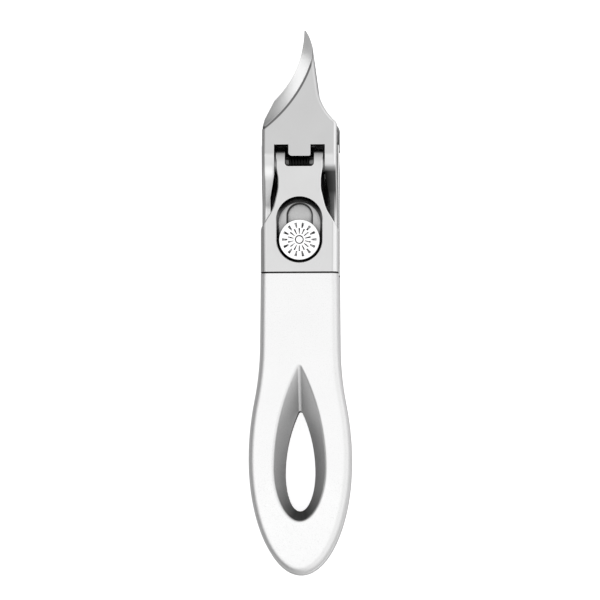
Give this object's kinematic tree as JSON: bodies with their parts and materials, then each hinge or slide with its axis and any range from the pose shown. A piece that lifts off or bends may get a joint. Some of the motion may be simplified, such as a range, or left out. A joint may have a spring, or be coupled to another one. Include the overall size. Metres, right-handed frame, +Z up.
{
  "type": "nail clipper",
  "caption": "Pliers-type nail clipper with a narrow hooked jaw, a cross pivot pin, long satin handles with a teardrop opening, and a sliding round lock button.",
  "frame": {"origin": "on the resting plane, under the middle of the tool's length and width", "axes": "+Y towards the jaws' tip, +Z up from the resting plane through the closed handles, +X to the right seen from above; the cutting edges curve to the left"},
  "size_m": [0.0236, 0.127, 0.0143],
  "materials": {
    "lever_steel": "satin",
    "handle_casting": "satin",
    "hardware_steel": "satin",
    "spring_steel": "satin",
    "lock_steel": "matte",
    "button_chrome": "gloss"
  },
  "bodies": {
    "lower_lever": {"upper_jaw": "lever_steel", "lower_handle": "handle_casting", "lower_handle_screws": "hardware_steel", "pivot_pin": "hardware_steel", "pivot_sleeve": "hardware_steel", "pivot_washers": "hardware_steel", "torsion_spring": "spring_steel", "catch_plate": "lock_steel", "catch_rivets": "hardware_steel"},
    "upper_lever": {"lower_jaw": "lever_steel", "upper_handle": "handle_casting", "upper_handle_screws": "hardware_steel", "lock_tray": "lock_steel"},
    "lock": {"lock_button": "button_chrome", "lock_button_cap": "button_chrome", "lock_wave_washer": "spring_steel", "lock_slide_plate": "lock_steel", "lock_hook": "lock_steel"}
  },
  "joints": [
    {"name": "lever_hinge", "type": "hinge", "parent": "lower_lever", "child": "upper_lever", "pos_m": [0, 0.0319, 0.0105], "axis": [-1, 0, 0], "range_deg": [0, 30], "deforming": ["torsion_spring"]},
    {"name": "lock_slide", "type": "slide", "parent": "upper_lever", "child": "lock", "axis": [0, 1, 0], "range_m": [0, 0.0047]}
  ]
}
